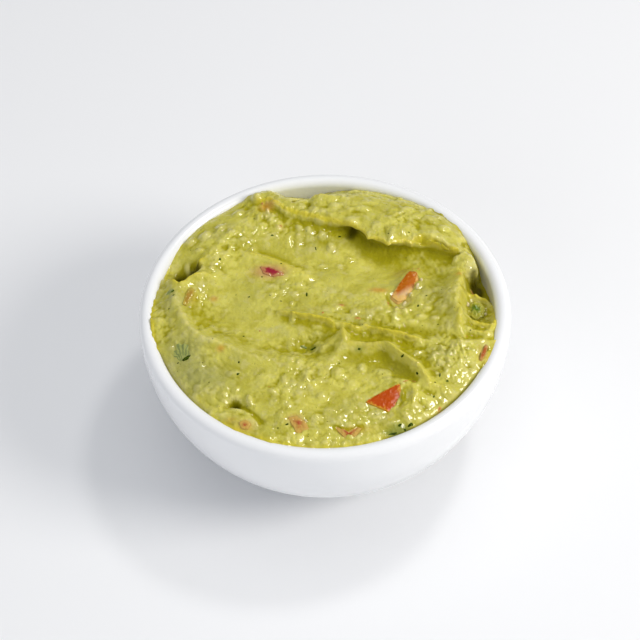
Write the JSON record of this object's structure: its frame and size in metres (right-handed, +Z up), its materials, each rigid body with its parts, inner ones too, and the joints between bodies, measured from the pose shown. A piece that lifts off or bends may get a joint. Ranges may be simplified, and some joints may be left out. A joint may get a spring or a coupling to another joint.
{
  "type": "bowl of guacamole",
  "caption": "Small round white porcelain bowl filled level with chunky green guacamole, worked into folds and crests, with diced tomato and red onion showing.",
  "frame": {"origin": "middle of the foot ring's underside, on the table", "axes": "+Z up out of the bowl; -Y towards the diner, +X to the diner's right"},
  "size_m": [0.12, 0.12, 0.0583],
  "materials": {
    "porcelain": "glossy white glaze",
    "guacamole": "moist, lumpy mash",
    "tomato": "wet cut flesh",
    "tomato_pale": "wet cut flesh, paler",
    "red_onion": "wet, translucent",
    "pepper": "wet, translucent",
    "avocado": "smooth, buttery"
  },
  "bodies": {
    "root": {"bowl": "porcelain", "guacamole": "guacamole", "tomato_front": "tomato", "tomato_right": "tomato_pale", "tomato_front_small": "tomato_pale", "tomato_front_strip": "tomato_pale", "tomato_corner": "tomato_pale", "tomato_edge": "tomato_pale", "onion_red": "red_onion", "pepper_left": "pepper", "avocado_right": "avocado"}
  },
  "joints": []
}
